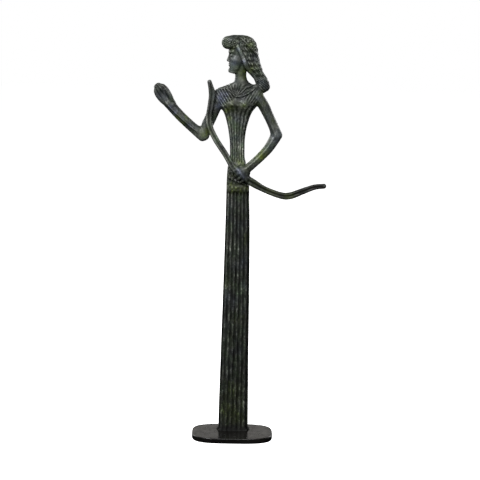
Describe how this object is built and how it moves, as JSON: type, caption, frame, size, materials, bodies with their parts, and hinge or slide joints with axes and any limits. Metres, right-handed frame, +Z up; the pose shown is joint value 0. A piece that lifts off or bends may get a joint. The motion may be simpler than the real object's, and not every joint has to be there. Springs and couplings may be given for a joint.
{
  "type": "artemis statue",
  "caption": "Slender cast bronze statuette of Artemis in a pleated robe, head turned aside, an open hand raised and a curved bow held across the hip, on a thin rounded plinth.",
  "frame": {"origin": "centre of the plinth's underside, where the statuette stands on a shelf", "axes": "+Z up along the figure, -Y out of the figure's front, +X to the figure's left, along the bow"},
  "size_m": [0.1105, 0.0324, 0.2601],
  "materials": {
    "patinated_bronze": "dark cast bronze with a green and black patina, rubbed brighter on the ridges",
    "dark_bronze": "smooth dark brown bronze, slightly glossy"
  },
  "bodies": {
    "root": {"figure": "patinated_bronze", "plinth": "dark_bronze"}
  },
  "joints": []
}
